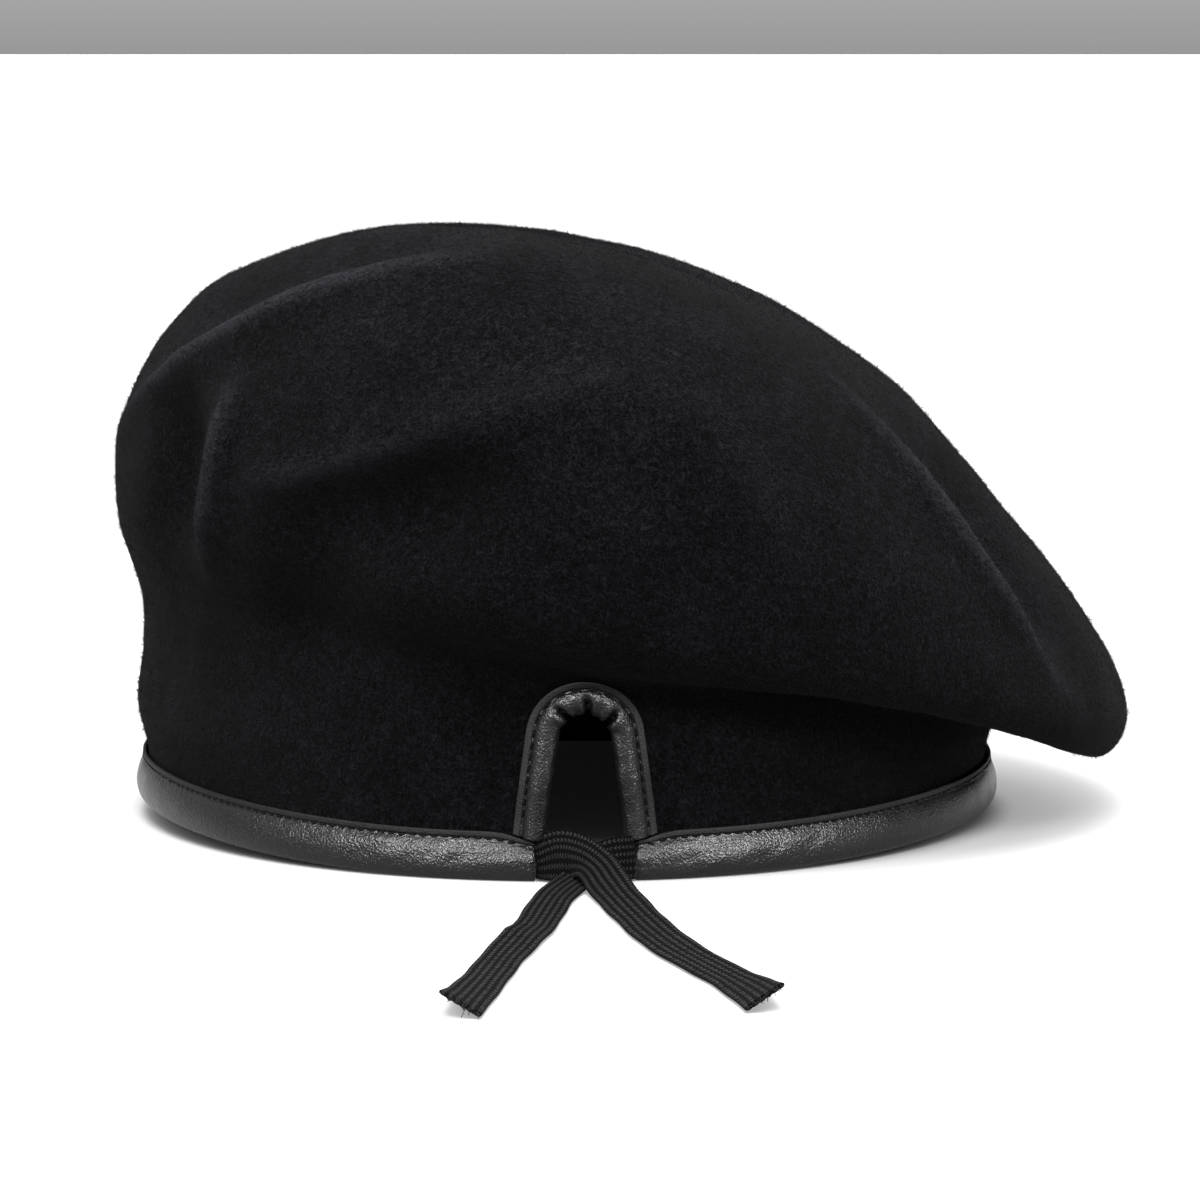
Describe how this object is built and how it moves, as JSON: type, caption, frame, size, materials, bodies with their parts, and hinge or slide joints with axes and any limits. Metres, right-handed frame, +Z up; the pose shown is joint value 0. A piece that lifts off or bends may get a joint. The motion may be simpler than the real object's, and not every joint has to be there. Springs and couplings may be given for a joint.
{
  "type": "military beret",
  "caption": "Soft round felt beret that slouches to one side, with a leather-bound rim and a leather-bound slit where the ends of an elastic drawstring come out.",
  "frame": {"origin": "under the middle of the crown and band together, at the surface the band stands on; the drawstring's ends are left out", "axes": "+Z up out of the top of the crown, the bound slit faces -Y, the crown slouches to +X"},
  "size_m": [0.2224, 0.3383, 0.1298],
  "materials": {
    "felt": "milled wool felt with a short nap",
    "leather": "finely grained, semi-gloss",
    "elastic": "ribbed knitted tape"
  },
  "bodies": {
    "root": {"crown": "felt", "band": "leather", "notch_binding": "leather", "tie_left": "elastic", "tie_right": "elastic"}
  },
  "joints": []
}
